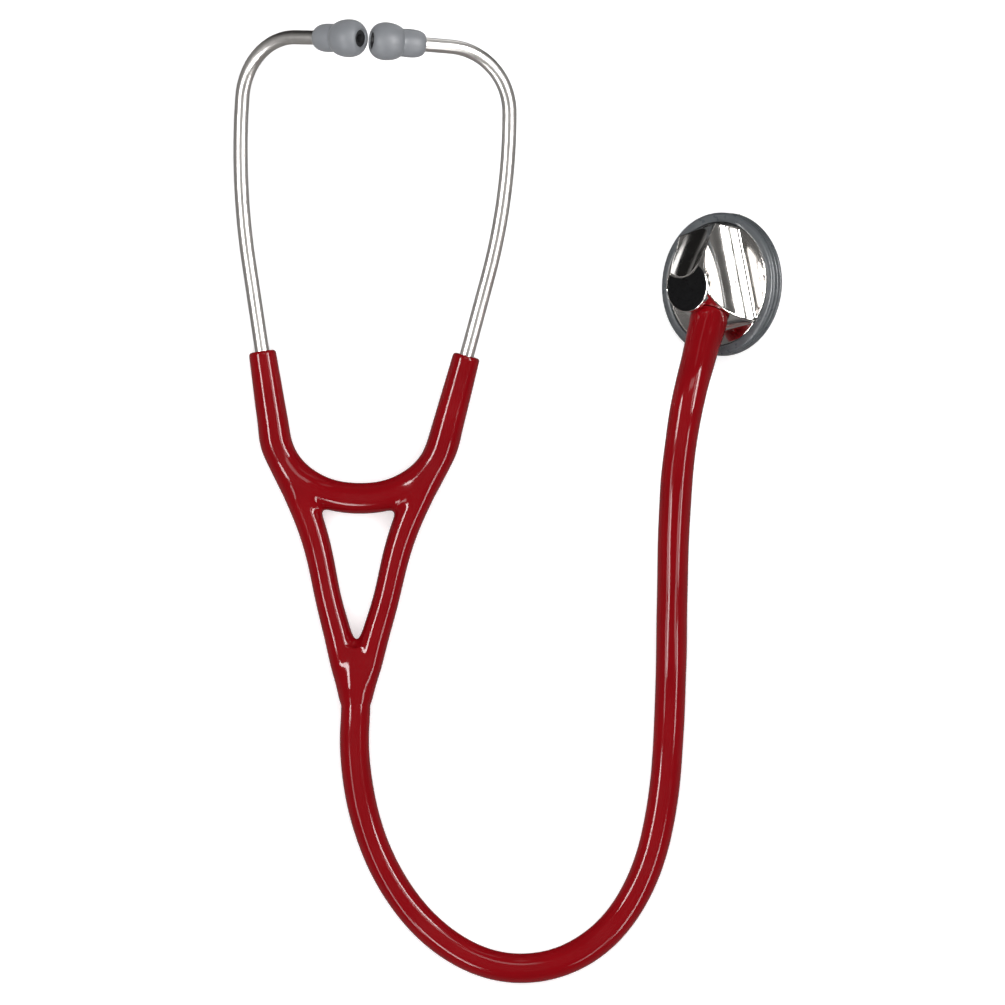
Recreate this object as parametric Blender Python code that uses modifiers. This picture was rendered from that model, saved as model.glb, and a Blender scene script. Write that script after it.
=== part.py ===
"""Single-sided stethoscope lying on a table.

A headset of two bent steel eartubes in a moulded yoke, one stout hose, and a
steel chestpiece with a tuned diaphragm, a soft rim and a round badge.

Lengths are in millimetres times MM, so every value is in metres. +Y points from
the hose's bend to the eartips, +X from the headset to the chestpiece and +Z up
from the table.
"""

import math

import bmesh
import bpy
import numpy as np
from mathutils import Matrix, Vector

MM = 0.001
GAP = 0.3 * MM
LEFT = -1
RIGHT = 1

# The headset's frame: origin at the end of the yoke's trunk, +Y along the trunk.
HEADSET_AT = Vector((-53.9, -119.8, 11.3)) * MM
HEADSET_LEAN = math.radians(0.8)
HEADSET_ROLL = math.radians(10.0)

# Yoke: a U-shaped crossbar between two hinge lines, two legs and a trunk.
HINGE_X = 30.35 * MM
HINGE_Y = 91.0 * MM
KNUCKLE_R = 5.7 * MM
CROSSBAR_R = 5.5 * MM
CROSSBAR_ROUTE = [(0.0, 71.0), (11.3, 72.5), (20.4, 77.0), (27.7, 84.6), (30.35, 91.0)]
LEG_ROUTE = [(30.35, 91.0, 5.2), (25.0, 79.0, 5.2), (17.9, 63.2, 5.1), (13.5, 48.9, 4.8),
             (10.3, 34.6, 4.7), (6.3, 20.3, 5.0), (3.6, 8.0, 4.5), (2.5, 1.5, 3.2)]
TRUNK_PROFILE = [(0.0, 17.0), (3.5, 17.0), (4.9, 15.5), (5.8, 0.0), (0.0, 0.0)]
LUMEN_R = 1.6 * MM
LUMEN_ROUTE = [(29.0, 88.4), (25.0, 79.0), (17.9, 63.2), (13.5, 48.9),
               (10.3, 34.6), (6.3, 20.3), (3.4, 8.0), (2.6, 0.0), (2.6, -2.0)]

# Yoke arms: moulded sleeves that hold the eartubes.
ARM_OUT = math.radians(12.0)
ARM_LEAN = math.radians(2.5)
ARM_SPREAD = math.radians(25.0)
ARM_LENGTH = 32.4 * MM
ARM_TOP_R = 4.85 * MM
ARM_EDGE = 0.6 * MM
KNUCKLE_STEPS = 6
ARM_BORE_R = 2.85 * MM
CLIP_BORE_R = 4.1 * MM
CLIP_R = 3.8 * MM
CLIP_LENGTH = 8.0 * MM
CLIP_FROM = 1.0 * MM
CLIP_BORE_LENGTH = 9.5 * MM

# Leaf spring inside the crossbar.
SPRING_THICKNESS = 0.8 * MM
SPRING_HEIGHT = 5.0 * MM
SPRING_HALF_SPAN = 26.0 * MM

# Eartubes: straight, a slow bend, a tight bend, then straight into the eartip.
EARTUBE_R = 2.55 * MM
EARTUBE_BORE_R = 2.0 * MM
EARTUBE_INSERTED = 22.0 * MM
EARTUBE_STRAIGHT = 28.5 * MM
SLOW_BEND_R = 216.6 * MM
SLOW_BEND = math.radians(15.8)
TIGHT_BEND_R = 24.3 * MM
TIGHT_BEND = math.radians(83.8)
EARTUBE_END = 10.2 * MM
EARTUBE_IN_TIP = 7.5 * MM
EARTUBE_FORWARD = math.radians(27.0)
EARTUBE_PULLED_OUT = {LEFT: 3.1 * MM, RIGHT: 0.0}

# Eartips: soft mushrooms on a rigid core.
EARTIP_OUTSIDE = [(3.25, 0.0), (4.2, 0.5), (4.75, 1.5), (5.0, 3.2), (5.05, 5.3), (5.0, 7.7),
                  (5.0, 8.7), (5.4, 9.5), (6.15, 10.9), (6.6, 12.5), (6.75, 14.1),
                  (6.6, 15.7), (6.0, 17.3), (5.1, 18.5), (4.0, 19.3), (3.2, 19.6)]
EARTIP_INSIDE = [(2.9, 19.2), (2.9, 15.5), (3.6, 15.5), (3.6, 8.6), (2.85, 8.6), (2.85, 0.0)]
CORE_R = 3.3 * MM
CORE_BORE_R = 2.1 * MM
CORE_FROM = 8.9 * MM
CORE_TO = 15.2 * MM

# Chestpiece frame: origin in the middle of the disc's back face, +Z out of the
# back, +Y away from the stem. It lies on the rim's left edge.
CHEST_AT = Vector((74.9, 27.5, 19.9)) * MM
CHEST_LEAN = math.radians(4.0)
CHEST_TILT = math.radians(38.8)
CHEST_SPIN = math.radians(18.4)
BOSS_LIMIT_R = 21.5 * MM
BASE_PROFILE = [(0.0, 0.0), (21.75, 0.0), (22.05, -0.3), (22.05, -1.6), (23.3, -1.6),
                (23.3, -3.0), (21.6, -3.0), (21.6, -4.2), (19.5, -4.2), (3.0, -1.3),
                (0.0, -1.3)]

# Boss on the disc: a cone cut by two side scoops, a finger groove and a stem face.
BOSS_H = 18.3 * MM
BOSS_SHIFT_Y = -1.9 * MM
BOSS_TOP_R = 9.2 * MM
BOSS_SLOPE = 1.16
COLLAR_FROM = 16.2 * MM
SCOOP_R = 14.15 * MM
SCOOP_X = 21.8 * MM
SCOOP_Z = 11.6 * MM
GROOVE_R = 12.0 * MM
GROOVE_Y = 2.4 * MM
GROOVE_Z = 34.3 * MM
GROOVE_SLOPE = math.radians(43.2)
BADGE_POCKET_R = 8.8 * MM
BADGE_POCKET_DEPTH = 1.1 * MM
BADGE_EDGE = 0.5 * MM
BADGE_T = 0.9 * MM

# Stem: leaves the boss's lower face at a slant, and carries the hose.
STEM_FACE = Vector((0.0, -12.2, 8.1)) * MM
STEM_SLOPE = math.radians(30.0)
STEM_YAW = math.radians(-5.0)
STEM_R = 3.4 * MM
STEM_BORE_R = 2.0 * MM
STEM_IN_BOSS = 8.7 * MM
STEM_OUT = 12.0 * MM
BARB_STEP = 0.2
BARB_LENGTH = 3.0
CHANNEL_R = 1.5 * MM
CHANNEL_Y = -3.7 * MM
CHANNEL_FROM = -4.0 * MM
CHANNEL_TO = 4.4 * MM
SOCKET_LENGTH = 13.0 * MM
SOCKET_FACE_R = 6.9 * MM
SOCKET_END_R = 6.0 * MM
SOCKET_BORE_R = 3.9 * MM

# Rim, surround and diaphragm on the disc's front.
RIM_PROFILE = [(22.35, 0.0), (25.0, 0.0), (25.5, -0.5), (25.5, -1.6), (25.1, -1.9),
               (25.5, -2.2), (25.5, -3.3), (25.1, -3.6), (25.5, -3.9), (25.5, -4.6),
               (25.1, -5.0), (21.9, -5.0), (21.9, -3.3), (23.6, -3.3), (23.6, -1.3),
               (22.35, -1.3)]
SURROUND_PROFILE = [(20.75, -4.5), (21.6, -4.5), (21.6, -5.0), (20.75, -5.0)]
DIAPHRAGM_PROFILE = [(0.0, -4.9), (20.3, -4.9), (20.45, -5.05), (20.45, -5.25),
                     (20.3, -5.4), (0.0, -5.4)]

# Hose: lies on the table, rises to the stem. Route from the yoke to the socket.
HOSE_R = 5.4 * MM
HOSE_SPACING = 14.0 * MM
HOSE_ROUTE = [(-54.3, -132.0, 11.0), (-53.6, -147.0, 9.6), (-50.6, -162.5, 7.8),
              (-45.0, -178.0, 6.2), (-36.6, -192.3, 5.5), (-26.2, -203.7, 5.4),
              (-12.5, -212.6, 5.4), (3.0, -216.4, 5.4), (18.7, -214.2, 5.4),
              (32.7, -206.3, 5.4), (43.2, -194.2, 5.4), (50.2, -179.6, 5.4),
              (54.6, -162.5, 5.4), (57.0, -143.0, 5.6), (58.1, -122.0, 7.6),
              (58.6, -101.0, 14.0), (58.8, -80.0, 23.3), (59.3, -59.0, 32.6),
              (60.5, -39.0, 40.4), (63.0, -20.5, 43.6), (66.1, -6.0, 41.6)]

# Short straight ends keep both of its end faces square to what they meet.
HOSE_STRAIGHT = (0.0, 1.0 * MM, 6.0 * MM)

TUBE_SIDES = 3
SMALL_STEPS = 24
ROUND_STEPS = 48
FINE_STEPS = 64
SLOW_BEND_STEPS = 6
TIGHT_BEND_STEPS = 12
TUBE_SPACING = 5.0 * MM
LEAF_SPACING = 2.5 * MM
# Turns a bore so that none of its corners lies in a neighbour's middle plane.
HALF_FACET = math.pi / SMALL_STEPS
SHARP_EDGE = math.radians(35.0)

# Cutters reach past what they cut.
WELD = 0.001 * MM
OVERRUN = 2.0 * MM
CUTTER_LENGTH = 80.0 * MM
GROOVE_BACK = 30.0 * MM
STEM_FACE_CUT = Vector((60.0, 60.0, 40.0)) * MM
POCKET_CUT_H = 5.0 * MM
STEM_HOLE_OVERRUN = 10.0 * MM
BOSS_FOOT = 1.0 * MM


def clear_scene():
    for item in list(bpy.data.objects):
        bpy.data.objects.remove(item, do_unlink=True)


def new_collection(name):
    group = bpy.data.collections.new(name)
    bpy.context.scene.collection.children.link(group)
    return group


def make_material(name, colour, roughness, metallic):
    material = bpy.data.materials.new(name)
    material.use_nodes = True
    shader = material.node_tree.nodes["Principled BSDF"]
    shader.inputs["Base Color"].default_value = (*colour, 1.0)
    shader.inputs["Roughness"].default_value = roughness
    shader.inputs["Metallic"].default_value = metallic
    return material


clear_scene()
PARTS = new_collection("stethoscope")
CUTTERS = new_collection("cutters")


def smooth_path(points, spacing):
    """Points at an even spacing on a natural cubic spline through the route."""
    route = np.array([tuple(p) for p in points], dtype=float)
    count = len(route)
    chord = np.linalg.norm(np.diff(route, axis=0), axis=1)
    at = np.concatenate([[0.0], np.cumsum(chord)])
    system = np.eye(count)
    right_side = np.zeros_like(route)
    for i in range(1, count - 1):
        before, after = chord[i - 1], chord[i]
        system[i, i - 1:i + 2] = (before, 2.0 * (before + after), after)
        slope_change = (route[i + 1] - route[i]) / after - (route[i] - route[i - 1]) / before
        right_side[i] = 6.0 * slope_change
    bend = np.linalg.solve(system, right_side)
    samples = max(2, round(at[-1] / spacing) + 1)
    path = []
    for s in np.linspace(0.0, at[-1], samples):
        i = min(int(np.searchsorted(at, s, side="right")) - 1, count - 2)
        h = chord[i]
        a, b = (at[i + 1] - s) / h, (s - at[i]) / h
        cubic = ((a**3 - a) * bend[i] + (b**3 - b) * bend[i + 1]) * h * h / 6.0
        path.append(a * route[i] + b * route[i + 1] + cubic)
    return path


def link(item, group, parent=None):
    group.objects.link(item)
    item.parent = parent
    if group == CUTTERS:
        item.hide_render = True
        item.display_type = "WIRE"
    return item


def empty(name, location, rotation, parent=None):
    frame = bpy.data.objects.new(name, None)
    frame.location = location
    frame.rotation_euler = rotation
    return link(frame, PARTS, parent)


def tube_curve(name, path, radii, group, parent=None, sides=TUBE_SIDES):
    """A round bar along a path, as a curve with filled caps."""
    curve = bpy.data.curves.new(name, "CURVE")
    curve.dimensions = "3D"
    curve.bevel_depth = 1.0
    curve.bevel_resolution = sides
    curve.use_fill_caps = True
    spline = curve.splines.new("POLY")
    spline.points.add(len(path) - 1)
    for point, place, radius in zip(spline.points, path, radii):
        point.co = (*place, 1.0)
        point.radius = radius
    return link(bpy.data.objects.new(name, curve), group, parent)


def curve_to_mesh(item):
    """The same bar as a closed mesh, so that it can be cut and joined."""
    bpy.context.view_layer.update()
    graph = bpy.context.evaluated_depsgraph_get()
    mesh = bpy.data.meshes.new_from_object(item.evaluated_get(graph))
    shape = bmesh.new()
    shape.from_mesh(mesh)
    bmesh.ops.remove_doubles(shape, verts=shape.verts, dist=WELD)
    bmesh.ops.recalc_face_normals(shape, faces=shape.faces)
    shape.to_mesh(mesh)
    shape.free()
    name, group, parent = item.name, item.users_collection[0], item.parent
    bpy.data.objects.remove(item, do_unlink=True)
    solid = bpy.data.objects.new(name, mesh)
    return link(solid, group, parent)


def tube(name, path, radii, group, parent=None, sides=TUBE_SIDES):
    return curve_to_mesh(tube_curve(name, path, radii, group, parent, sides))


def plan_tube(name, route, radius, group, parent):
    """A round bar in the parent's XY plane; each point may carry its own radius."""
    points = [(p[0] * MM, p[1] * MM, p[2] * MM if len(p) > 2 else radius) for p in route]
    path = smooth_path(points, TUBE_SPACING)
    places = [(x, y, 0.0) for x, y, _ in path]
    return tube(name, places, [r for _, _, r in path], group, parent)


def mirrored(route):
    return [(-p[0], *p[1:]) for p in route]


def lathe(name, profile, group, parent=None, steps=ROUND_STEPS):
    """A profile of (radius, height) in millimetres turned about Z."""
    mesh = bpy.data.meshes.new(name)
    shape = bmesh.new()
    corners = [shape.verts.new((r * MM, 0.0, z * MM)) for r, z in profile]
    for a, b in zip(corners, corners[1:]):
        shape.edges.new((a, b))
    if profile[0][0] > 0.0:
        shape.edges.new((corners[-1], corners[0]))
    shape.to_mesh(mesh)
    shape.free()
    item = link(bpy.data.objects.new(name, mesh), group, parent)
    screw = item.modifiers.new("turn", "SCREW")
    screw.axis = "Z"
    screw.angle = math.tau
    screw.steps = steps
    screw.render_steps = steps
    screw.use_merge_vertices = True
    screw.merge_threshold = WELD
    screw.use_smooth_shade = False
    return item


def cone(name, radius_low, radius_high, length, group, parent=None, steps=ROUND_STEPS):
    """A cone or cylinder from z = 0 to z = length, before it is placed."""
    mesh = bpy.data.meshes.new(name)
    shape = bmesh.new()
    bmesh.ops.create_cone(shape, cap_ends=True, segments=steps, radius1=radius_low,
                          radius2=radius_high, depth=length)
    bmesh.ops.translate(shape, verts=shape.verts, vec=(0.0, 0.0, length / 2))
    shape.to_mesh(mesh)
    shape.free()
    return link(bpy.data.objects.new(name, mesh), group, parent)


def block(name, size, centre, group, parent=None):
    mesh = bpy.data.meshes.new(name)
    shape = bmesh.new()
    bmesh.ops.create_cube(shape, size=1.0)
    bmesh.ops.scale(shape, verts=shape.verts, vec=size)
    bmesh.ops.translate(shape, verts=shape.verts, vec=centre)
    shape.to_mesh(mesh)
    shape.free()
    return link(bpy.data.objects.new(name, mesh), group, parent)


def combine(item, operation, other):
    """The shapes are symmetric, so many edges cross at one point, which MANIFOLD allows."""
    step = item.modifiers.new(other.name, "BOOLEAN")
    step.operation = operation
    step.object = other
    step.solver = "MANIFOLD"


def join(item, *others):
    for other in others:
        combine(item, "UNION", other)


def cut(item, *others):
    for other in others:
        combine(item, "DIFFERENCE", other)


def finish(item, material):
    item.data.materials.clear()
    item.data.materials.append(material)
    if item.type == "MESH":
        item.data.shade_smooth()
        item.data.set_sharp_from_angle(angle=SHARP_EDGE)
    return item


HOSE_RED = make_material("hose_red", (0.36, 0.008, 0.016), 0.22, 0.0)
POLISHED_STEEL = make_material("polished_steel", (0.78, 0.76, 0.74), 0.08, 1.0)
TUBE_STEEL = make_material("tube_steel", (0.70, 0.67, 0.63), 0.18, 1.0)
SPRING_STEEL = make_material("spring_steel", (0.45, 0.45, 0.46), 0.35, 1.0)
TIP_GREY = make_material("tip_grey", (0.30, 0.32, 0.34), 0.5, 0.0)
CORE_BLACK = make_material("core_black", (0.02, 0.02, 0.022), 0.5, 0.0)
RIM_SLATE = make_material("rim_slate", (0.075, 0.09, 0.10), 0.4, 0.0)
BADGE_BLACK = make_material("badge_black", (0.008, 0.008, 0.009), 0.3, 0.0)
DIAPHRAGM_GREY = make_material("diaphragm_grey", (0.45, 0.45, 0.44), 0.35, 0.0)

# Turns a solid made along +Z so that it lies along its parent's +Y.
ALONG_Y = (math.radians(-90.0), 0.0, 0.0)

headset_turn = Matrix.Rotation(-HEADSET_LEAN, 3, "Z") @ Matrix.Rotation(-HEADSET_ROLL, 3, "Y")
HEADSET = empty("headset_frame", HEADSET_AT, headset_turn.to_euler())


def arm_frame(side, name, spread=0.0):
    """Frame on an arm's hinge line, +Y along the arm; spread opens it outwards."""
    lean = ARM_LEAN * side
    turn = -side * (ARM_OUT + lean + spread)
    return empty(name, (side * HINGE_X, HINGE_Y, 0.0), (0.0, 0.0, turn), HEADSET)


def arm_solid(name, extra, group, frame):
    """Tapered sleeve with a ball end on the hinge line, grown by extra."""
    knuckle = (KNUCKLE_R + extra) / MM
    top = (ARM_TOP_R + extra) / MM
    length = ARM_LENGTH / MM
    edge = ARM_EDGE / MM
    profile = [(0.0, length), (top - edge, length), (top, length - edge), (knuckle, 0.0)]
    for step in range(1, KNUCKLE_STEPS):
        angle = math.radians(90.0) * step / KNUCKLE_STEPS
        profile.append((knuckle * math.cos(angle), -knuckle * math.sin(angle)))
    profile.append((0.0, -knuckle))
    item = lathe(name, profile, group, frame, SMALL_STEPS)
    item.rotation_euler = ALONG_Y
    return item


def make_yoke(frames):
    """Crossbar, legs and trunk in one moulding, hollow for sound and for the spring."""
    crossbar = CROSSBAR_ROUTE[:0:-1] + mirrored(CROSSBAR_ROUTE)
    yoke = plan_tube("yoke", crossbar, CROSSBAR_R, PARTS, HEADSET)
    legs = [plan_tube("leg_right", LEG_ROUTE, 0.0, CUTTERS, HEADSET),
            plan_tube("leg_left", mirrored(LEG_ROUTE), 0.0, CUTTERS, HEADSET)]
    trunk = lathe("trunk", TRUNK_PROFILE, CUTTERS, HEADSET, SMALL_STEPS)
    trunk.rotation_euler = ALONG_Y
    join(yoke, *legs, trunk)
    slot_reach = CROSSBAR_ROUTE[-1][0] * MM
    cut(yoke, leaf("spring_slot", slot_reach, GAP, CUTTERS))
    for label, route in (("right", LUMEN_ROUTE), ("left", mirrored(LUMEN_ROUTE))):
        cut(yoke, plan_tube("lumen_" + label, route, LUMEN_R, CUTTERS, HEADSET))
    for side, frame in frames.items():
        label = "left" if side == LEFT else "right"
        cut(yoke, arm_solid("arm_room_" + label, GAP, CUTTERS, frame))
        opened = arm_frame(side, "arm_opened_" + label, ARM_SPREAD)
        cut(yoke, arm_solid("arm_swing_" + label, GAP, CUTTERS, opened))
    return finish(yoke, HOSE_RED)


def leaf(name, half_span, extra, group):
    """Upright strip along the crossbar's middle line, grown by extra all round."""
    crossbar = CROSSBAR_ROUTE[:0:-1] + mirrored(CROSSBAR_ROUTE)
    points = [(x * MM, y * MM, 0.0) for x, y in crossbar]
    path = [p for p in smooth_path(points, LEAF_SPACING) if abs(p[0]) <= half_span + WELD]
    half_height = SPRING_HEIGHT / 2 + extra
    mesh = bpy.data.meshes.new(name)
    shape = bmesh.new()
    low = [shape.verts.new((x, y, -half_height)) for x, y, _ in path]
    high = [shape.verts.new((x, y, half_height)) for x, y, _ in path]
    for i in range(len(path) - 1):
        shape.faces.new((low[i], low[i + 1], high[i + 1], high[i]))
    shape.to_mesh(mesh)
    shape.free()
    strip = link(bpy.data.objects.new(name, mesh), group, HEADSET)
    wall = strip.modifiers.new("wall", "SOLIDIFY")
    wall.thickness = SPRING_THICKNESS + 2 * extra
    wall.offset = 0.0
    return strip


def make_arm(side, label, frame):
    """Sleeve on the hinge line, bored right through for the eartube and its clip."""
    arm = arm_solid("yoke_arm_" + label, 0.0, PARTS, frame)
    bore = cone("arm_bore_" + label, ARM_BORE_R, ARM_BORE_R, 2 * ARM_LENGTH, CUTTERS, frame)
    bore.rotation_euler = ALONG_Y
    clip_bore = cone("clip_bore_" + label, CLIP_BORE_R, CLIP_BORE_R,
                     CLIP_BORE_LENGTH + 2 * KNUCKLE_R, CUTTERS, frame)
    clip_bore.rotation_euler = ALONG_Y
    clip_bore.location = (0.0, -2 * KNUCKLE_R, 0.0)
    cut(arm, bore, clip_bore)
    finish(arm, HOSE_RED)
    clip_top = CLIP_FROM + CLIP_LENGTH
    clip = lathe("spring_clip_" + label, ring_profile(ARM_BORE_R, CLIP_R, CLIP_FROM, clip_top),
                 PARTS, frame, SMALL_STEPS)
    clip.rotation_euler = ALONG_Y
    finish(clip, SPRING_STEEL)


def ring_profile(inner, outer, low, high):
    """Square-cut ring, in millimetres, for lathe."""
    corners = [(inner, high), (outer, high), (outer, low), (inner, low)]
    return [(r / MM, z / MM) for r, z in corners]


def eartube_path(side):
    """Middle line in the arm's frame before the forward twist, and its end direction."""
    start = ARM_LENGTH + EARTUBE_PULLED_OUT[side]
    along, inward, heading = start + EARTUBE_STRAIGHT, 0.0, 0.0
    path = [(0.0, start - EARTUBE_INSERTED, 0.0), (0.0, along, 0.0)]
    for radius, turn, steps in ((SLOW_BEND_R, SLOW_BEND, SLOW_BEND_STEPS),
                                (TIGHT_BEND_R, TIGHT_BEND, TIGHT_BEND_STEPS)):
        for step in range(1, steps + 1):
            ahead = heading + turn * step / steps
            y = along + radius * (math.sin(ahead) - math.sin(heading))
            x = inward + radius * (math.cos(heading) - math.cos(ahead))
            path.append((-side * x, y, 0.0))
        along, inward, heading = y, x, heading + turn
    direction = Vector((-side * math.sin(heading), math.cos(heading), 0.0))
    return path, direction


def make_ear_side(side, label, frame):
    """Hollow eartube with its eartip and core, twisted forward about the arm's line."""
    twist = empty("twist_frame_" + label, (0.0, 0.0, 0.0),
                  (0.0, side * EARTUBE_FORWARD, 0.0), frame)
    path, direction = eartube_path(side)
    bend_end = Vector(path[-1])
    tip_at = bend_end + direction * EARTUBE_END
    outer_path = path + [tuple(tip_at + direction * EARTUBE_IN_TIP)]
    eartube = tube("eartube_" + label, outer_path, [EARTUBE_R] * len(outer_path),
                   PARTS, twist)
    inner_path = [(0.0, path[0][1] - OVERRUN, 0.0)] + path[1:]
    inner_path.append(tuple(tip_at + direction * (EARTUBE_IN_TIP + OVERRUN)))
    cut(eartube, tube("eartube_bore_" + label, inner_path,
                      [EARTUBE_BORE_R] * len(inner_path), CUTTERS, twist))
    finish(eartube, TUBE_STEEL)

    tip_turn = direction.to_track_quat("Z", "Y").to_euler()
    tip_frame = empty("tip_frame_" + label, tip_at, tip_turn, twist)
    tip_profile = EARTIP_OUTSIDE[::-1] + EARTIP_INSIDE[::-1]
    eartip = lathe("eartip_" + label, tip_profile, PARTS, tip_frame, SMALL_STEPS)
    finish(eartip, TIP_GREY)
    core = lathe("eartip_core_" + label, ring_profile(CORE_BORE_R, CORE_R, CORE_FROM, CORE_TO),
                 PARTS, tip_frame, SMALL_STEPS)
    finish(core, CORE_BLACK)


chest_turn = (Matrix.Rotation(-CHEST_LEAN, 3, "Z") @ Matrix.Rotation(-CHEST_TILT, 3, "Y")
              @ Matrix.Rotation(CHEST_SPIN, 3, "Z"))
CHEST = empty("chestpiece_frame", CHEST_AT, chest_turn.to_euler())
# The stem's frame: origin where the stem leaves the boss, +Z outwards.
STEM = empty("stem_frame", STEM_FACE, (math.radians(90.0) - STEM_SLOPE, 0.0, STEM_YAW), CHEST)


def groove_cutter(name, extra):
    """Slanted round bar that presses the finger groove and bites the badge."""
    radius = GROOVE_R + extra
    bar = cone(name, radius, radius, CUTTER_LENGTH, CUTTERS, CHEST, FINE_STEPS)
    heading = math.radians(-90.0) - GROOVE_SLOPE
    back = Vector((0.0, -math.cos(GROOVE_SLOPE), math.sin(GROOVE_SLOPE))) * GROOVE_BACK
    bar.rotation_euler = (heading, 0.0, 0.0)
    bar.location = Vector((0.0, GROOVE_Y, GROOVE_Z)) + back
    return bar


def make_chestpiece():
    """One steel body: boss, disc, flange, shallow front cone, sound channel and bores."""
    height = BOSS_H + BOSS_FOOT
    foot_r = BOSS_TOP_R + height * BOSS_SLOPE
    body = cone("chestpiece_body", foot_r, BOSS_TOP_R, height, PARTS, CHEST, FINE_STEPS)
    shift = Vector((0.0, BOSS_SHIFT_Y, -BOSS_FOOT))
    body.data.transform(Matrix.Translation(shift))
    limit = cone("boss_limit", BOSS_LIMIT_R, BOSS_LIMIT_R, 2 * BOSS_H, CUTTERS, CHEST, FINE_STEPS)
    limit.location = (0.0, 0.0, -BOSS_FOOT / 2)
    combine(body, "INTERSECT", limit)
    for side, label in ((LEFT, "left"), (RIGHT, "right")):
        scoop = cone("scoop_" + label, SCOOP_R, SCOOP_R, CUTTER_LENGTH,
                     CUTTERS, CHEST, FINE_STEPS)
        scoop.rotation_euler = ALONG_Y
        scoop.location = (side * SCOOP_X, -CUTTER_LENGTH / 2, SCOOP_Z)
        cut(body, scoop)
    above_face = Vector((0.0, 0.0, STEM_FACE_CUT.z / 2))
    cut(body, block("stem_face_cut", STEM_FACE_CUT, above_face, CUTTERS, STEM))
    collar = cone("badge_collar", BOSS_TOP_R, BOSS_TOP_R, BOSS_H - COLLAR_FROM,
                  CUTTERS, CHEST, FINE_STEPS)
    collar.location = (0.0, BOSS_SHIFT_Y, COLLAR_FROM)
    join(body, collar)
    cut(body, groove_cutter("finger_groove", 0.0))
    pocket = cone("badge_pocket", BADGE_POCKET_R, BADGE_POCKET_R, POCKET_CUT_H,
                  CUTTERS, CHEST, FINE_STEPS)
    pocket.location = (0.0, BOSS_SHIFT_Y, BOSS_H - BADGE_POCKET_DEPTH)
    cut(pocket, groove_cutter("pocket_wall", BADGE_EDGE))
    cut(body, pocket)
    join(body, lathe("disc_base", BASE_PROFILE, CUTTERS, CHEST, FINE_STEPS))
    stem_hole_r = STEM_R + GAP
    stem_hole = cone("stem_hole", stem_hole_r, stem_hole_r, STEM_IN_BOSS + STEM_HOLE_OVERRUN,
                     CUTTERS, STEM, SMALL_STEPS)
    stem_hole.location = (0.0, 0.0, -STEM_IN_BOSS - GAP)
    stem_hole.rotation_euler = (0.0, 0.0, HALF_FACET)
    channel = cone("sound_channel", CHANNEL_R, CHANNEL_R, CHANNEL_TO - CHANNEL_FROM,
                   CUTTERS, CHEST, SMALL_STEPS)
    channel.location = (0.0, CHANNEL_Y, CHANNEL_FROM)
    channel.rotation_euler = (0.0, 0.0, HALF_FACET)
    cut(body, stem_hole, channel)
    finish(body, POLISHED_STEEL)


def make_badge():
    badge_r = BADGE_POCKET_R - GAP
    badge = cone("badge_disc", badge_r, badge_r, BADGE_T, PARTS, CHEST, FINE_STEPS)
    height = BOSS_H - BADGE_POCKET_DEPTH + GAP
    badge.data.transform(Matrix.Translation(Vector((0.0, BOSS_SHIFT_Y, height))))
    cut(badge, groove_cutter("badge_bite", BADGE_EDGE + GAP))
    finish(badge, BADGE_BLACK)


def make_stem():
    """Barbed steel spigot, half in the boss and half in the hose's socket."""
    low, high = -STEM_IN_BOSS / MM, STEM_OUT / MM
    outer, bore = STEM_R / MM, STEM_BORE_R / MM
    neck, barb = outer - BARB_STEP, outer + BARB_STEP
    profile = [(neck, high), (barb, high - BARB_LENGTH), (neck, high - BARB_LENGTH),
               (barb, high - 2 * BARB_LENGTH), (neck, high - 2 * BARB_LENGTH), (neck, 0.0),
               (outer, 0.0), (outer, low), (bore, low), (bore, high)]
    finish(lathe("stem", profile, PARTS, STEM, SMALL_STEPS), POLISHED_STEEL)


def make_socket():
    """The hose's flared end, which grips the stem."""
    low, high = GAP / MM, SOCKET_LENGTH / MM
    bore = SOCKET_BORE_R / MM
    profile = [(bore, high), (SOCKET_END_R / MM, high), (SOCKET_FACE_R / MM, low), (bore, low)]
    finish(lathe("hose_socket", profile, PARTS, STEM, SMALL_STEPS), HOSE_RED)


def make_front():
    rim = lathe("rim_ring", RIM_PROFILE, PARTS, CHEST, FINE_STEPS)
    finish(rim, RIM_SLATE)
    surround = lathe("diaphragm_surround", SURROUND_PROFILE, PARTS, CHEST, ROUND_STEPS)
    finish(surround, RIM_SLATE)
    diaphragm = lathe("diaphragm", DIAPHRAGM_PROFILE, PARTS, CHEST, ROUND_STEPS)
    finish(diaphragm, DIAPHRAGM_GREY)


def make_hose():
    """The free hose, from the trunk's end face to the socket's."""
    bpy.context.view_layer.update()
    trunk = HEADSET.matrix_world
    stem = STEM.matrix_world
    start = [trunk @ Vector((0.0, -GAP - d, 0.0)) for d in HOSE_STRAIGHT]
    end = [stem @ Vector((0.0, 0.0, SOCKET_LENGTH + GAP + d)) for d in reversed(HOSE_STRAIGHT)]
    route = [start[0], start[2]] + [Vector(p) * MM for p in HOSE_ROUTE] + [end[0], end[2]]
    path = smooth_path(route, HOSE_SPACING)
    path = [path[0], start[1]] + path[1:-1] + [end[1], path[-1]]
    hose = tube_curve("main_hose", path, [HOSE_R] * len(path), PARTS)
    finish(hose, HOSE_RED)


arm_frames = {LEFT: arm_frame(LEFT, "arm_frame_left"),
              RIGHT: arm_frame(RIGHT, "arm_frame_right")}
make_yoke(arm_frames)
finish(leaf("binaural_spring", SPRING_HALF_SPAN, 0.0, PARTS), SPRING_STEEL)
for arm_side, arm_label in ((LEFT, "left"), (RIGHT, "right")):
    make_arm(arm_side, arm_label, arm_frames[arm_side])
    make_ear_side(arm_side, arm_label, arm_frames[arm_side])
make_chestpiece()
make_badge()
make_stem()
make_socket()
make_front()
make_hose()
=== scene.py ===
import math

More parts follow.
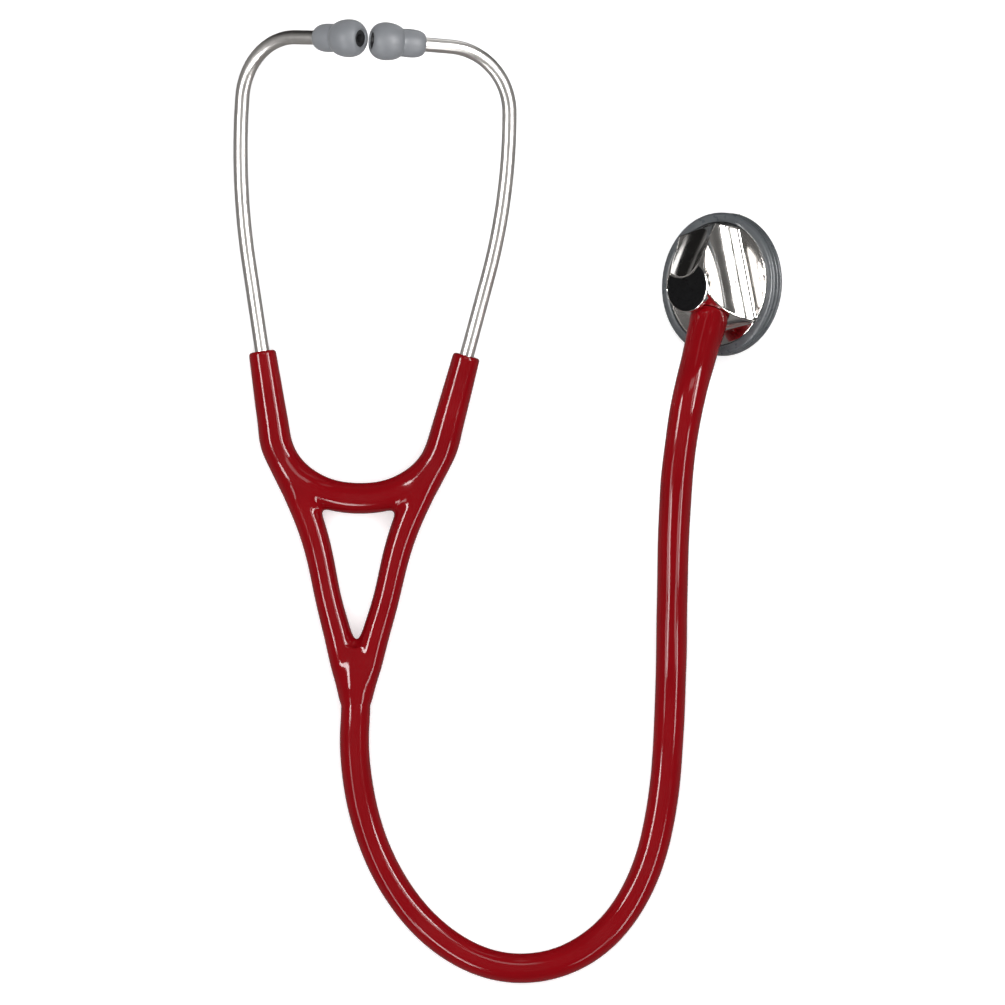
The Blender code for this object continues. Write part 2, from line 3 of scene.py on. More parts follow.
import bmesh
import bpy
import numpy as np
from mathutils import Matrix, Vector


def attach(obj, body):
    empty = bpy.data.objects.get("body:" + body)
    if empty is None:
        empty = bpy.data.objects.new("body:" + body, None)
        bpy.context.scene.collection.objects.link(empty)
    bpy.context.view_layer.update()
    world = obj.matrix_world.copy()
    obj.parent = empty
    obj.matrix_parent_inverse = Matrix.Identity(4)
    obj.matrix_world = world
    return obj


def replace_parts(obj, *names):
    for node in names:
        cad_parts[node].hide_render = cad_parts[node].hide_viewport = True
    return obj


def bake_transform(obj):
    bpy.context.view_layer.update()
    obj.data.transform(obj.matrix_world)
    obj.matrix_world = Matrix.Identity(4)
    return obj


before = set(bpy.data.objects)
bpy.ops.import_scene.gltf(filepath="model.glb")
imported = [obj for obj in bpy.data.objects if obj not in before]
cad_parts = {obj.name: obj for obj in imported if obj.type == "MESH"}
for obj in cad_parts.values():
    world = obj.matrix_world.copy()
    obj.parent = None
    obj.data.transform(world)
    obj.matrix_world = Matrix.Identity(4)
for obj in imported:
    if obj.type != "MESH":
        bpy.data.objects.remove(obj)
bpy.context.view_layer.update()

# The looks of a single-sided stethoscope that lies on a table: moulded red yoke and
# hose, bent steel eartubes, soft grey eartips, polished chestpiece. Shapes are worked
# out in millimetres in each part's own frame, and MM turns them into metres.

MM = 0.001
LEFT, RIGHT = -1, 1
SIDES = {"left": LEFT, "right": RIGHT}

# Frames of the headset, the chestpiece and the stem, as the CAD model has them.
HEADSET_AT = Vector((-53.9, -119.8, 11.3))
HEADSET_LEAN = math.radians(0.8)
HEADSET_ROLL = math.radians(10.0)
CHEST_AT = Vector((74.9, 27.5, 19.9))
CHEST_LEAN = math.radians(4.0)
CHEST_TILT = math.radians(38.8)
CHEST_SPIN = math.radians(18.4)
STEM_FACE = Vector((0.0, -12.2, 8.1))
STEM_SLOPE = math.radians(30.0)
STEM_YAW = math.radians(-5.0)

# Yoke and arms.
HINGE = (30.35, 91.0)
CROSSBAR_R = 5.5
CROSSBAR_ROUTE = [(0.0, 71.0), (11.3, 72.5), (20.4, 77.0), (27.7, 84.6), HINGE]
LEG_ROUTE = [(*HINGE, 4.3), (25.0, 79.0, 5.1), (17.9, 63.2, 5.1), (13.5, 48.9, 4.8),
             (10.3, 34.6, 4.7), (6.3, 20.3, 5.0), (3.6, 8.0, 4.5), (2.5, 1.5, 3.2)]
TRUNK_LENGTH = 17.0
ARM_OUT = math.radians(12.0)
ARM_LEAN = math.radians(2.5)
ARM_LENGTH = 32.4
ARM_TOP_R = 4.85
KNUCKLE_R = 5.7
ARM_BORE_R = 2.62
ARM_BORE_FROM = 6.0

# Eartubes and eartips.
EARTUBE_R = 2.55
EARTUBE_BORE_R = 2.0
EARTUBE_INSERTED = 22.0
EARTUBE_STRAIGHT = 28.5
EARTUBE_BENDS = [(216.6, math.radians(15.8)), (24.3, math.radians(83.8))]
EARTUBE_END = 10.2
EARTUBE_IN_TIP = 7.5
EARTIP_SET_BACK = 0.5  # keeps the two soft tips just apart
EARTUBE_FORWARD = math.radians(27.0)
EARTUBE_PULLED_OUT = {LEFT: 3.1, RIGHT: 0.0}

# Hose: the route's own points, and its radius at distances back from the chestpiece.
HOSE_ROUTE = [(-54.3, -132.0, 11.0), (-53.6, -147.0, 9.6), (-50.6, -162.5, 7.8),
              (-45.0, -178.0, 6.2), (-36.6, -192.3, 5.5), (-26.2, -203.7, 5.4),
              (-12.5, -212.6, 5.4), (3.0, -216.4, 5.4), (18.7, -214.2, 5.4),
              (32.7, -206.3, 5.4), (43.2, -194.2, 5.4), (50.2, -179.6, 5.4),
              (54.6, -162.5, 5.4), (57.0, -143.0, 5.6), (58.1, -122.0, 7.6),
              (58.6, -101.0, 14.0), (58.8, -80.0, 23.3), (59.3, -59.0, 32.6),
              (60.5, -39.0, 40.4), (63.0, -20.5, 43.6), (66.1, -6.0, 41.6)]
HOSE_RADII = [(0.0, 6.55), (0.5, 6.85), (3.0, 6.8), (12.0, 6.15), (25.0, 5.9), (60.0, 5.65),
              (120.0, 5.5), (200.0, 5.35), (330.0, 5.25), (450.0, 5.2)]
HOSE_SPACING, HOSE_SIDES = 1.2, 64
HOSE_DENTS = [(0.10, 4.7), (0.09, 9.3)]  # height and length of the unevenness
HOSE_SMOOTHING = 9  # rings over which a change of radius is eased
STEM_END_SWELL, STEM_END_BACK = 0.10, 8.0
SOCKET_LENGTH = 13.0

# Camera: straight above, far away, with the photograph's field.
VIEW_X, VIEW_Y = -1.6 * MM, -50.3 * MM
VIEW_WIDTH = 358.8 * MM
CAMERA_HEIGHT = 6.0
SENSOR = 36.0


def turned(*turns):
    """A rotation matrix from pairs of angle and axis, the outermost first."""
    whole = Matrix.Identity(4)
    for angle, axis in turns:
        whole = whole @ Matrix.Rotation(angle, 4, axis)
    return whole


HEADSET = Matrix.Translation(HEADSET_AT) @ turned((-HEADSET_LEAN, "Z"), (-HEADSET_ROLL, "Y"))
CHEST = Matrix.Translation(CHEST_AT) @ turned((-CHEST_LEAN, "Z"), (-CHEST_TILT, "Y"),
                                              (CHEST_SPIN, "Z"))
STEM = CHEST @ Matrix.Translation(STEM_FACE) @ turned((STEM_YAW, "Z"),
                                                      (math.radians(90.0) - STEM_SLOPE, "X"))


def arm_turn(side):
    return -side * (ARM_OUT + ARM_LEAN * side)


def arm_frame(side):
    """Frame on an arm's hinge line, +Y along the arm."""
    hinge = Vector((side * HINGE[0], HINGE[1], 0.0))
    return HEADSET @ Matrix.Translation(hinge) @ turned((arm_turn(side), "Z"))


# ---------------------------------------------------------------- camera and cord

def make_camera():
    data = bpy.data.cameras.new("camera")
    data.sensor_width = SENSOR
    data.lens = SENSOR * CAMERA_HEIGHT / VIEW_WIDTH
    data.clip_end = 4 * CAMERA_HEIGHT
    camera = bpy.data.objects.new("camera", data)
    camera.location = (VIEW_X, VIEW_Y, CAMERA_HEIGHT)
    bpy.context.scene.collection.objects.link(camera)
    bpy.context.scene.camera = camera


def smooth_path(points, spacing):
    """Points at an even spacing on a natural cubic spline through the route."""
    route = np.array([tuple(p) for p in points], dtype=float)
    count = len(route)
    chord = np.linalg.norm(np.diff(route, axis=0), axis=1)
    at = np.concatenate([[0.0], np.cumsum(chord)])
    system = np.eye(count)
    right_side = np.zeros_like(route)
    for i in range(1, count - 1):
        before, after = chord[i - 1], chord[i]
        system[i, i - 1:i + 2] = (before, 2.0 * (before + after), after)
        slope_change = (route[i + 1] - route[i]) / after - (route[i] - route[i - 1]) / before
        right_side[i] = 6.0 * slope_change
    bend = np.linalg.solve(system, right_side)
    samples = max(2, round(at[-1] / spacing) + 1)
    s = np.linspace(0.0, at[-1], samples)
    i = np.clip(np.searchsorted(at, s, side="right") - 1, 0, count - 2)
    h = chord[i][:, None]
    a, b = (at[i + 1] - s)[:, None] / h, (s - at[i])[:, None] / h
    cubic = ((a**3 - a) * bend[i] + (b**3 - b) * bend[i + 1]) * h * h / 6.0
    return a * route[i] + b * route[i + 1] + cubic


def new_piece(name, points, faces, transform=None):
    """A piece from points in millimetres, placed by a frame in millimetres."""
    points = np.asarray(points, float)
    if transform is not None:
        matrix = np.array(transform)
        points = points @ matrix[:3, :3].T + matrix[:3, 3]
    mesh = bpy.data.meshes.new(name)
    mesh.from_pydata((points * MM).tolist(), [], faces)
    mesh.shade_smooth()
    piece = bpy.data.objects.new(name, mesh)
    bpy.context.scene.collection.objects.link(piece)
    return piece


def along(path):
    """Distance from the start at each point of a path."""
    return np.concatenate([[0.0], np.cumsum(np.linalg.norm(np.diff(path, axis=0), axis=1))])


def rings_on(path, radii, sides):
    """Rings square to the path, without twist."""
    tangent = np.gradient(path, axis=0)
    tangent /= np.linalg.norm(tangent, axis=1)[:, None]
    side = np.cross(tangent[0], (0.0, 0.0, 1.0))
    if np.linalg.norm(side) < 0.1:
        side = np.cross(tangent[0], (0.0, 1.0, 0.0))
    turns = np.linspace(0.0, math.tau, sides, endpoint=False)
    rings = []
    for point, forward, radius in zip(path, tangent, radii):
        side = side - forward * np.dot(side, forward)
        side /= np.linalg.norm(side)
        up = np.cross(forward, side)
        rings.append(point + radius * (np.outer(np.cos(turns), side) + np.outer(np.sin(turns), up)))
    return np.array(rings)


def skin(rings, closed_loop):
    """Quads between rings; the ends are either joined to each other or capped."""
    count, sides = rings.shape[:2]
    faces = []
    for i in range(count if closed_loop else count - 1):
        low, high = i * sides, ((i + 1) % count) * sides
        for j in range(sides):
            k = (j + 1) % sides
            faces.append((low + j, low + k, high + k, high + j))
    if not closed_loop:
        faces.append(tuple(reversed(range(sides))))
        faces.append(tuple(range((count - 1) * sides, count * sides)))
    return rings.reshape(-1, 3), faces


def swept_bar(name, path, radii, sides, transform=None):
    points, faces = skin(rings_on(path, radii, sides), False)
    piece = new_piece(name, points, faces, transform)
    piece.data.set_sharp_from_angle(angle=math.radians(50.0))
    return piece


def swept_tube(name, path, outer, bore, sides, transform=None):
    """Open tube: outer wall one way, bore the other way."""
    outside = rings_on(path, [outer] * len(path), sides)
    inside = rings_on(path, [bore] * len(path), sides)[::-1]
    points, faces = skin(np.concatenate([outside, inside]), True)
    piece = new_piece(name, points, faces, transform)
    piece.data.set_sharp_from_angle(angle=math.radians(50.0))
    return piece


def hose_path(spacing):
    start = [HEADSET @ Vector((0.0, -y, 0.0)) for y in (-2.0, 6.0)]
    end = [STEM @ Vector((0.0, 0.0, z)) for z in (SOCKET_LENGTH + 6.0, SOCKET_LENGTH, 0.2)]
    return smooth_path(start + list(HOSE_ROUTE) + end, spacing)


def hose_rings(path):
    """The hose's radius round each ring: flared at the stem, and slightly dented near it."""
    back = along(path)[-1] - along(path)
    at, radius = zip(*HOSE_RADII)
    radii = np.interp(back, at, radius)
    ease = np.ones(HOSE_SMOOTHING) / HOSE_SMOOTHING
    eased = np.convolve(np.pad(radii, HOSE_SMOOTHING // 2, mode="edge"), ease, mode="valid")
    radii = np.where(back > 5.0, eased, radii)
    radii = radii + STEM_END_SWELL * np.exp(-((back - STEM_END_BACK) / 1.2) ** 2)
    far = back[:, None]
    around = np.linspace(0.0, math.tau, HOSE_SIDES, endpoint=False)[None, :]
    (short_height, short_length), (long_height, long_length) = HOSE_DENTS
    dents = short_height * np.sin(far / short_length + 1.5 * np.cos(around + far / 31.0))
    dents += long_height * np.sin(far / long_length + 2.0 * around)
    strength = (0.25 + 0.75 * np.exp(-back / 60.0)) * np.clip(back / 12.0, 0.0, 1.0)
    strength *= np.clip(along(path) / 30.0, 0.0, 1.0)
    return (radii[:, None] + dents * strength[:, None])[:, :, None]


def make_hose():
    """Main hose with its flared end round the stem, as one soft, slightly dented moulding."""
    path = hose_path(HOSE_SPACING)
    hose = swept_bar("hose_skin", path, hose_rings(path), HOSE_SIDES)
    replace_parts(hose, "main_hose", "hose_socket")
    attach(hose, "tubing")
    [tuple(p * MM) for p in hose_path(3.0)]
    return hose


# ---------------------------------------------------------------- materials

class Shader:
    """A Principled material, with its detail read from the piece's own coordinates."""

    def __init__(self, name, colour, roughness, **constants):
        self.material = bpy.data.materials.new(name)
        self.material.use_nodes = True
        self.tree = self.material.node_tree
        self.shader = self.tree.nodes["Principled BSDF"]
        self.colour, self.roughness = colour, roughness
        self.shader.inputs["Base Color"].default_value = (*colour, 1.0)
        self.shader.inputs["Roughness"].default_value = roughness
        for key, value in constants.items():
            self.shader.inputs[key.replace("_", " ")].default_value = value
        self.place = self.add("ShaderNodeTexCoord").outputs["Object"]
        self.bump = None

    def add(self, kind, **settings):
        node = self.tree.nodes.new(kind)
        for key, value in settings.items():
            setattr(node, key, value)
        return node

    def join(self, source, target):
        self.tree.links.new(source, target)

    def noise(self, scale, detail=4.0, stretch=None):
        """Noise with so many features to the metre, optionally stretched along axes."""
        node = self.add("ShaderNodeTexNoise")
        node.inputs["Scale"].default_value = scale
        node.inputs["Detail"].default_value = detail
        place = self.place
        if stretch:
            mapping = self.add("ShaderNodeMapping")
            mapping.inputs["Scale"].default_value = stretch
            self.join(place, mapping.inputs["Vector"])
            place = mapping.outputs["Vector"]
        self.join(place, node.inputs["Vector"])
        return node.outputs["Fac"]

    def spread(self, source, low, high):
        """Maps the middle of a noise's range to low..high."""
        node = self.add("ShaderNodeMapRange")
        node.inputs["From Min"].default_value = 0.3
        node.inputs["From Max"].default_value = 0.7
        node.inputs["To Min"].default_value = low
        node.inputs["To Max"].default_value = high
        self.join(source, node.inputs["Value"])
        return node.outputs["Result"]

    def mottle(self, source, other):
        """Base colour that wanders between the material's own and another."""
        mix = self.add("ShaderNodeMix", data_type="RGBA")
        mix.inputs["A"].default_value = (*self.colour, 1.0)
        mix.inputs["B"].default_value = (*other, 1.0)
        self.join(self.spread(source, 0.0, 1.0), mix.inputs["Factor"])
        self.join(mix.outputs["Result"], self.shader.inputs["Base Color"])
        return self

    def polish(self, source, low, high):
        """Roughness that wanders between two values."""
        self.join(self.spread(source, low, high), self.shader.inputs["Roughness"])
        return self

    def relief(self, source, height):
        """Adds bump of this height in millimetres."""
        node = self.add("ShaderNodeBump")
        node.inputs["Strength"].default_value = 1.0
        node.inputs["Distance"].default_value = height * MM
        self.join(source, node.inputs["Height"])
        if self.bump:
            self.join(self.bump, node.inputs["Normal"])
        self.bump = node.outputs["Normal"]
        self.join(self.bump, self.shader.inputs["Normal"])
        return self


def hose_red():
    """Glossy soft PVC: deep red, faint marbling, smears in the gloss, slight orange peel."""
    shader = Shader("hose_red", (0.235, 0.0018, 0.0048), 0.10, IOR=1.48,
                    Specular_IOR_Level=0.27)
    shader.mottle(shader.noise(55.0, 5.0), (0.205, 0.0015, 0.0042))
    shader.polish(shader.noise(90.0, 6.0), 0.075, 0.14)
    shader.relief(shader.noise(240.0, 2.0), 0.012)
    shader.relief(shader.noise(2600.0, 3.0), 0.0012)
    return shader.material


def polished_steel():
    """Mirror-polished steel with fine wiping marks and a breath of haze."""
    shader = Shader("polished_steel", (0.83, 0.805, 0.78), 0.11, Metallic=1.0)
    shader.mottle(shader.noise(70.0, 3.0), (0.74, 0.715, 0.69))
    shader.polish(shader.noise(160.0, 6.0), 0.08, 0.15)
    shader.relief(shader.noise(900.0, 4.0, (1.0, 8.0, 1.0)), 0.0006)
    return shader.material


def tube_steel():
    """Drawn and polished tube: fine lines along its length."""
    shader = Shader("tube_steel", (0.80, 0.775, 0.75), 0.32, Metallic=1.0)
    shader.mottle(shader.noise(40.0, 3.0), (0.73, 0.705, 0.68))
    shader.polish(shader.noise(300.0, 3.0, (3.0, 0.1, 3.0)), 0.29, 0.35)
    shader.relief(shader.noise(1400.0, 2.0, (1.0, 0.03, 1.0)), 0.0003)
    return shader.material


def spring_steel():
    shader = Shader("spring_steel", (0.42, 0.42, 0.43), 0.35, Metallic=1.0)
    shader.mottle(shader.noise(400.0, 5.0), (0.33, 0.325, 0.32))
    shader.polish(shader.noise(700.0, 4.0), 0.28, 0.45)
    shader.relief(shader.noise(3000.0, 4.0, (1.0, 0.1, 1.0)), 0.002)
    return shader.material


def tip_grey():
    """Satin soft rubber with a fine moulded texture."""
    shader = Shader("tip_grey", (0.238, 0.248, 0.264), 0.42, IOR=1.4, Sheen_Weight=0.08,
                    Sheen_Roughness=0.4)
    shader.mottle(shader.noise(170.0, 5.0), (0.212, 0.222, 0.240))
    shader.polish(shader.noise(500.0, 5.0), 0.36, 0.50)
    shader.relief(shader.noise(4200.0, 3.0), 0.004)
    return shader.material


def core_black():
    shader = Shader("core_black", (0.012, 0.012, 0.013), 0.5)
    shader.mottle(shader.noise(600.0, 4.0), (0.02, 0.02, 0.021))
    shader.polish(shader.noise(900.0, 4.0), 0.42, 0.6)
    shader.relief(shader.noise(4000.0, 3.0), 0.004)
    return shader.material


def rim_slate():
    """Slate rubber: smooth, slightly waxy, with paler rubbed patches."""
    shader = Shader("rim_slate", (0.064, 0.072, 0.079), 0.3, IOR=1.5, Coat_Weight=0.15,
                    Coat_Roughness=0.2)
    shader.mottle(shader.noise(140.0, 6.0), (0.096, 0.105, 0.113))
    shader.polish(shader.noise(350.0, 5.0), 0.24, 0.40)
    shader.relief(shader.noise(3500.0, 3.0), 0.002)
    return shader.material


def badge_black():
    """Black lacquer with a very fine, shallow grain."""
    shader = Shader("badge_black", (0.003, 0.003, 0.0033), 0.30, Specular_IOR_Level=0.15)
    shader.mottle(shader.noise(500.0, 4.0), (0.0045, 0.0045, 0.005))
    shader.polish(shader.noise(900.0, 4.0), 0.26, 0.34)
    shader.relief(shader.noise(6000.0, 2.0), 0.0015)
    return shader.material


def diaphragm_grey():
    """Glass-fibre laminate: a fine cross grain under a matt film."""
    shader = Shader("diaphragm_grey", (0.42, 0.42, 0.41), 0.34)
    shader.mottle(shader.noise(900.0, 4.0, (1.0, 6.0, 1.0)), (0.36, 0.36, 0.35))
    shader.polish(shader.noise(300.0, 4.0), 0.28, 0.42)
    shader.relief(shader.noise(2400.0, 2.0, (6.0, 1.0, 1.0)), 0.004)
    return shader.material


def wear(piece, material):
    piece.data.materials.clear()
    piece.data.materials.append(material)
    return piece


# ---------------------------------------------------------------- solids from distances

COARSE_STRIDE, COARSE_REACH = 4, 2.2
SLOPE_STEP = 0.01
LEAST_SLOPE = 0.05
EVENING_ROUNDS, EVENING_SHARE = 3, 0.6


def surface(distance, low, high, cell):
    """Points and quads of distance = 0 in a box, by surface nets, moved on to the surface."""
    axes = [np.arange(a, b + cell, cell) for a, b in zip(low, high)]
    value = on_grid(distance, axes, cell)
    inside = value < 0.0
    shape = [n - 1 for n in value.shape]
    corner = [(i, j, k) for i in (0, 1) for j in (0, 1) for k in (0, 1)]
    count = sum(inside[i:i + shape[0], j:j + shape[1], k:k + shape[2]].astype(np.int8)
                for i, j, k in corner)
    cells = np.argwhere((count > 0) & (count < 8))
    index = np.full(shape, -1)
    index[tuple(cells.T)] = np.arange(len(cells))
    points = np.array([axes[a][0] for a in range(3)]) + (cells + 0.5) * cell
    faces = []
    for axis in range(3):
        u, v = (axis + 1) % 3, (axis + 2) % 3
        step = np.eye(3, dtype=int)[axis]
        last = [n - s for n, s in zip(value.shape, step)]
        here = inside[:last[0], :last[1], :last[2]]
        there = inside[step[0]:, step[1]:, step[2]:]
        for grid, flip in ((here & ~there, False), (there & ~here, True)):
            at = np.argwhere(grid)
            quad = []
            for du, dv in ((1, 1), (0, 1), (0, 0), (1, 0)):
                neighbour = at.copy()
                neighbour[:, u] -= du
                neighbour[:, v] -= dv
                quad.append(index[tuple(neighbour.T)])
            quad = np.stack(quad[::-1] if flip else quad, axis=1)
            faces.append(quad)
    faces = np.concatenate(faces)
    return settle(distance, points, faces, cell), faces


def on_grid(distance, axes, cell):
    """Distances on the grid: coarse ones first, then fine ones near the surface."""
    shape = [len(a) for a in axes]
    coarse_axes = [a[::COARSE_STRIDE] for a in axes]
    coarse = distance(grid_points(coarse_axes)).reshape([len(a) for a in coarse_axes])
    value = coarse
    for axis in range(3):
        value = np.repeat(value, COARSE_STRIDE, axis=axis)
    value = value[:shape[0], :shape[1], :shape[2]].copy()
    near = np.abs(value) < COARSE_STRIDE * cell * COARSE_REACH
    value[near] = distance(grid_points(axes)[near.ravel()])
    return value


def grid_points(axes):
    return np.stack(np.meshgrid(*axes, indexing="ij"), axis=-1).reshape(-1, 3)


def gradient(distance, points):
    """Outward slope of the distance at each point."""
    slope = np.empty_like(points)
    for axis in range(3):
        shift = np.eye(3)[axis] * SLOPE_STEP
        rise = distance(points + shift) - distance(points - shift)
        slope[:, axis] = rise / (2 * SLOPE_STEP)
    return slope


def on_surface(distance, points, cell):
    """Moves each point to distance = 0 along the slope, a cell at the most."""
    slope = gradient(distance, points)
    size = np.maximum((slope**2).sum(axis=1), LEAST_SLOPE)
    move = -(distance(points) / size)[:, None] * slope
    length = np.linalg.norm(move, axis=1)
    return points + move * np.minimum(1.0, cell / np.maximum(length, 1e-9))[:, None]


def settle(distance, points, faces, cell):
    """Evens out the points along the surface and brings them on to it."""
    edges = np.concatenate([faces[:, [a, (a + 1) % 4]] for a in range(4)])
    degree = np.bincount(edges[:, 0], minlength=len(points))
    points = on_surface(distance, points, cell)
    for _ in range(EVENING_ROUNDS):
        total = np.zeros_like(points)
        for axis in range(3):
            total[:, axis] = np.bincount(edges[:, 0], points[edges[:, 1], axis], len(points))
        mean = total / np.maximum(degree, 1)[:, None]
        points = on_surface(distance, points + EVENING_SHARE * (mean - points), cell)
    return on_surface(distance, points, cell)


def union(a, b, fillet):
    """The nearer of two distances, with a fillet between them."""
    blend = np.maximum(fillet - np.abs(a - b), 0.0) / fillet
    return np.minimum(a, b) - blend * blend * fillet * 0.25


def common(a, b, rounding):
    return -union(-a, -b, rounding)


def without(a, b, rounding):
    return -union(-a, b, rounding)


def flat_tube(points, route):
    """Distance to a round bar along a route of (x, y, radius) in the XY plane."""
    start, end = route[:-1], route[1:]
    way = end[:, :2] - start[:, :2]
    length = (way**2).sum(axis=1)
    nearest = np.full(len(points), np.inf)
    for a, b, w, size in zip(start, end, way, length):
        dx, dy = points[:, 0] - a[0], points[:, 1] - a[1]
        t = np.clip((dx * w[0] + dy * w[1]) / size, 0.0, 1.0)
        far = np.sqrt((dx - t * w[0])**2 + (dy - t * w[1])**2 + points[:, 2]**2)
        np.minimum(nearest, far - (a[2] + t * (b[2] - a[2])), out=nearest)
    return nearest


def round_bar(points, base, direction, radius):
    """Distance to an endless round bar through base."""
    offset = points - np.array(base)
    axis = np.array(direction) / np.linalg.norm(direction)
    return np.linalg.norm(offset - np.outer(offset @ axis, axis), axis=1) - radius


# ---------------------------------------------------------------- yoke

YOKE_CELL = 0.45
LEG_CUT_Y = 60.0
FILLET, HINGE_FILLET = 3.4, 1.5  # between legs and crossbar, and close to the hinge
FILLET_FROM, FILLET_OVER = 8.0, 9.0  # distances from the hinge over which it grows
CROTCH, TRUNK_FILLET = 5.0, 2.6
TRUNK_Y = [-4.2, -2.4, -0.5, 3.0, 10.0, TRUNK_LENGTH]
TRUNK_R = [4.95, 5.25, 5.5, 5.75, 5.6, 4.0]
TRUNK_END_Y = -4.0
SLEEVE_EDGE, BORE_EDGE = 1.3, 0.3
LINE_SPACING = 1.2
SLEEVE_STEPS = (5.0, 12.0, 20.0, 28.0, ARM_LENGTH + 3.0)
LEG_LINE = smooth_path(LEG_ROUTE, LINE_SPACING)


def u_line():
    """Middle line and radius from one sleeve's top, round the crossbar, to the other's."""
    ends = {}
    for side in (LEFT, RIGHT):
        turn = arm_turn(side)
        ends[side] = [(side * HINGE[0] - math.sin(turn) * up, HINGE[1] + math.cos(turn) * up,
                       KNUCKLE_R + (ARM_TOP_R - KNUCKLE_R) * up / ARM_LENGTH)
                      for up in SLEEVE_STEPS]
    bar = [(x, y, CROSSBAR_R) for x, y in CROSSBAR_ROUTE[:-1]] + [(*HINGE, KNUCKLE_R)]
    mirrored = [(-x, y, r) for x, y, r in bar[:0:-1]]
    return smooth_path(ends[LEFT][::-1] + mirrored + bar + ends[RIGHT], LINE_SPACING)


U_LINE = u_line()


def sleeve_ends(points, whole):
    """Cuts the sleeves' ends square with a soft edge, and bores them for the eartubes."""
    for side in (LEFT, RIGHT):
        turn = arm_turn(side)
        x = points[:, 0] - side * HINGE[0]
        y = points[:, 1] - HINGE[1]
        up = -math.sin(turn) * x + math.cos(turn) * y
        out = math.cos(turn) * x + math.sin(turn) * y
        beyond = np.where(x * side > -20.0, up - ARM_LENGTH, -50.0)
        whole = common(whole, beyond, SLEEVE_EDGE)
        bore = np.maximum(np.hypot(out, points[:, 2]) - ARM_BORE_R, ARM_BORE_FROM - up)
        whole = without(whole, bore, BORE_EDGE)
    return whole


def yoke_distance(points):
    """The whole moulding in the headset's frame."""
    mirrored = points * np.array((-1.0, 1.0, 1.0))
    right, left = flat_tube(points, LEG_LINE), flat_tube(mirrored, LEG_LINE)
    y = points[:, 1]
    legs = union(right, left, CROTCH)
    away = np.hypot(np.abs(points[:, 0]) - HINGE[0], y - HINGE[1])
    grown = np.clip((away - FILLET_FROM) / FILLET_OVER, 0.0, 1.0)
    fillet = HINGE_FILLET + grown * (FILLET - HINGE_FILLET)
    whole = union(legs, flat_tube(points, U_LINE), fillet)
    trunk_r = np.interp(y, TRUNK_Y, TRUNK_R)
    trunk = np.maximum(np.hypot(points[:, 0], points[:, 2]) - trunk_r, y - TRUNK_LENGTH)
    whole = union(whole, trunk, TRUNK_FILLET)
    whole = np.maximum(whole, TRUNK_END_Y - y)
    return sleeve_ends(points, whole)


def keep_side(piece, point, normal):
    """Cuts a piece with a plane, keeps what is behind it, and closes the cut."""
    shape = bmesh.new()
    shape.from_mesh(piece.data)
    whole = shape.verts[:] + shape.edges[:] + shape.faces[:]
    made = bmesh.ops.bisect_plane(shape, geom=whole, dist=1e-7, plane_co=point,
                                  plane_no=normal, clear_outer=True)
    rim = [e for e in made["geom_cut"] if isinstance(e, bmesh.types.BMEdge)]
    bmesh.ops.holes_fill(shape, edges=rim, sides=0)
    shape.to_mesh(piece.data)
    shape.free()
    piece.data.shade_smooth()
    piece.data.set_sharp_from_angle(angle=math.radians(60.0))


def make_yoke():
    """One moulding in three pieces: a lower piece, and one piece for each arm."""
    span = HINGE[0] + 18.0
    top = HINGE[1] + ARM_LENGTH + 2.0
    points, faces = surface(yoke_distance, (-span, -5.0, -7.0), (span, top, 7.0), YOKE_CELL)
    whole = new_piece("yoke_lower", points, faces.tolist(), HEADSET)
    turn = HEADSET.to_3x3()
    across = HEADSET @ Vector((0.0, LEG_CUT_Y, 0.0)) * MM
    middle = HEADSET @ Vector((0.0, 0.0, 0.0)) * MM
    pieces = []
    for label, side in SIDES.items():
        half = bpy.data.objects.new(f"yoke_{label}", whole.data.copy())
        bpy.context.scene.collection.objects.link(half)
        keep_side(half, across, turn @ Vector((0.0, -1.0, 0.0)))
        keep_side(half, middle, turn @ Vector((-side, 0.0, 0.0)))
        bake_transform(half)
        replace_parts(half, f"yoke_arm_{label}")
        pieces.append(half)
    keep_side(whole, across, turn @ Vector((0.0, 1.0, 0.0)))
    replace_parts(whole, "yoke")
    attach(whole, "tubing")
    pieces.append(whole)
    return pieces


# ---------------------------------------------------------------- eartubes and eartips

EARTIP_OUTSIDE = [(2.9, 0.05), (3.5, 0.3), (4.15, 1.0), (4.62, 2.0), (4.93, 3.3), (5.05, 5.0),
                  (5.02, 6.8), (4.95, 8.0), (5.0, 8.75)]
EARTIP_BALL = [(5.2, 8.85), (5.75, 9.7), (6.3, 11.1), (6.65, 12.8), (6.75, 14.4),
               (6.6, 16.0), (6.1, 17.5), (5.25, 18.7), (4.35, 19.4), (3.6, 19.68),
               (3.2, 19.66), (3.05, 19.4)]
EARTIP_INSIDE = [(3.03, 18.9), (3.03, 15.6), (2.85, 15.0), (2.85, 8.0), (2.72, 0.4)]
TUBE_SIDES, TIP_SIDES, TIP_SPACING = 48, 80, 0.35
EARTIP_CORE = [(3.0, 19.05), (2.85, 19.2), (1.7, 19.1), (1.4, 18.7), (1.4, 15.3), (3.0, 15.3)]


def eartube_path(side, fine):
    """Middle line in the arm's frame before the forward twist, and its end direction."""
    start = ARM_LENGTH + EARTUBE_PULLED_OUT[side]
    y, x, heading = start + EARTUBE_STRAIGHT, 0.0, 0.0
    path = [(0.0, v, 0.0) for v in np.linspace(start - EARTUBE_INSERTED, y, 12)]
    for radius, turn in EARTUBE_BENDS:
        steps = math.ceil(radius * turn / fine)
        y0, x0, heading0 = y, x, heading
        for step in range(1, steps + 1):
            heading = heading0 + turn * step / steps
            y = y0 + radius * (math.sin(heading) - math.sin(heading0))
            x = x0 + radius * (math.cos(heading0) - math.cos(heading))
            path.append((-side * x, y, 0.0))
    direction = Vector((-side * math.sin(heading), math.cos(heading), 0.0))
    return path, direction


